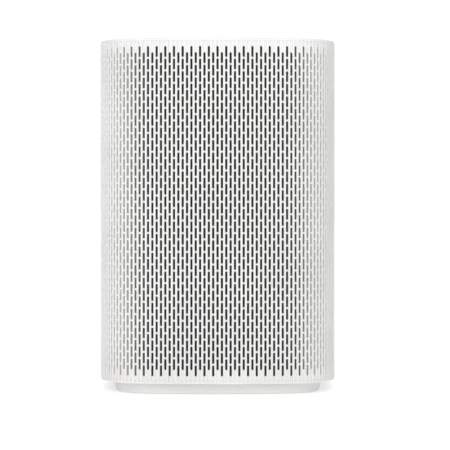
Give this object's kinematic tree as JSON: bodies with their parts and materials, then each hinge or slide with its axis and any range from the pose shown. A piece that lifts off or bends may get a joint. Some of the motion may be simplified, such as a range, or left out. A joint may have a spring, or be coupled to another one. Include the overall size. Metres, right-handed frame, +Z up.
{
  "type": "air purifier",
  "caption": "Fluted bowed-square tower air purifier with a ring filter, upward fan, magnetic rear cover and centre power button.",
  "frame": {"origin": "middle of the footprint, on the surface that the feet stand on", "axes": "+Z up, front towards -Y, +X to the right of the front"},
  "size_m": [0.24, 0.24, 0.3485],
  "materials": {
    "white_shell": "matte moulded white",
    "white_base": "matte moulded white",
    "white_trim": "satin moulded white",
    "chassis_plastic": "grey moulded",
    "rubber_feet": "soft grey rubber",
    "liner_mesh": "dark woven mesh",
    "fan_plastic": "glass-filled grey",
    "motor_steel": "plated",
    "shaft_steel": "ground",
    "screw_steel": "zinc plated",
    "magnet": "nickel plated",
    "copper": "enamelled wire",
    "board_green": "solder mask",
    "board_part": "black moulded",
    "sensor_case": "pressed case",
    "cable_black": "sleeve",
    "lamp": "diffused",
    "light_lens": "milky",
    "foam_seal": "closed-cell foam",
    "filter_cap": "satin",
    "filter_paper": "pleated fleece",
    "carbon": "granular",
    "filter_net": "fine net",
    "tab_web": "woven tape"
  },
  "bodies": {
    "chassis": {"base_tray": "white_shell", "bearings": "shaft_steel", "board_bracket": "chassis_plastic", "board_parts": "board_part", "cable_clips": "chassis_plastic", "chassis_screws": "screw_steel", "control_board": "board_green", "control_panel": "white_trim", "dc_jack": "board_part", "deck_seal": "foam_seal", "diffuser": "chassis_plastic", "fan_bulkhead": "chassis_plastic", "fan_housing": "chassis_plastic", "feet": "rubber_feet", "frame_magnets": "magnet", "front_cover": "white_shell", "front_posts": "chassis_plastic", "front_prefilter": "liner_mesh", "indicator_lenses": "light_lens", "inlet_guard": "chassis_plastic", "inlet_ring": "chassis_plastic", "jack_nut": "screw_steel", "leds": "lamp", "light_ring": "light_lens", "main_board": "board_green", "motor_core": "motor_steel", "motor_cover": "chassis_plastic", "motor_lead": "cable_black", "motor_mount": "motor_steel", "motor_screws": "screw_steel", "motor_windings": "copper", "outlet_grille": "white_trim", "panel_lead": "cable_black", "panel_screws": "screw_steel", "particle_sensor": "sensor_case", "plinth": "white_base", "plinth_screws": "screw_steel", "power_harness": "cable_black", "rear_posts": "chassis_plastic", "switch_body": "board_part", "top_deck": "white_shell"},
    "rotor": {"impeller": "fan_plastic", "hub_nut": "screw_steel", "motor_shaft": "shaft_steel", "rotor_cup": "motor_steel", "rotor_magnets": "magnet", "shaft_clip": "shaft_steel"},
    "button": {"power_button": "white_trim", "switch_plunger": "board_part"},
    "cover": {"rear_cover": "white_shell", "rear_prefilter": "liner_mesh", "cover_magnets": "magnet"},
    "filter": {"filter_bottom_cap": "filter_cap", "filter_top_cap": "filter_cap", "filter_media": "filter_paper", "carbon_core": "carbon", "filter_sleeve": "filter_net", "filter_gasket": "foam_seal", "pull_tab": "tab_web"}
  },
  "joints": [
    {"name": "impeller_spin", "type": "hinge", "parent": "chassis", "child": "rotor", "pos_m": [0, 0, 0.27], "axis": [0, 0, 1], "continuous": true},
    {"name": "power_button_press", "type": "slide", "parent": "chassis", "child": "button", "axis": [0, 0, -1], "range_m": [0, 0.0006], "stiffness_N_per_m": 800, "springref_m": -0.0004},
    {"name": "filter_slide", "type": "slide", "parent": "chassis", "child": "filter", "axis": [0, 1, 0], "range_m": [0, 0.19]},
    {"name": "rear_cover_slide", "type": "slide", "parent": "chassis", "child": "cover", "axis": [0, 1, 0], "range_m": [0, 0.248]}
  ],
  "couplings": [
    {"joint": "rear_cover_slide", "follows": "filter_slide", "ratio": 1.3}
  ]
}
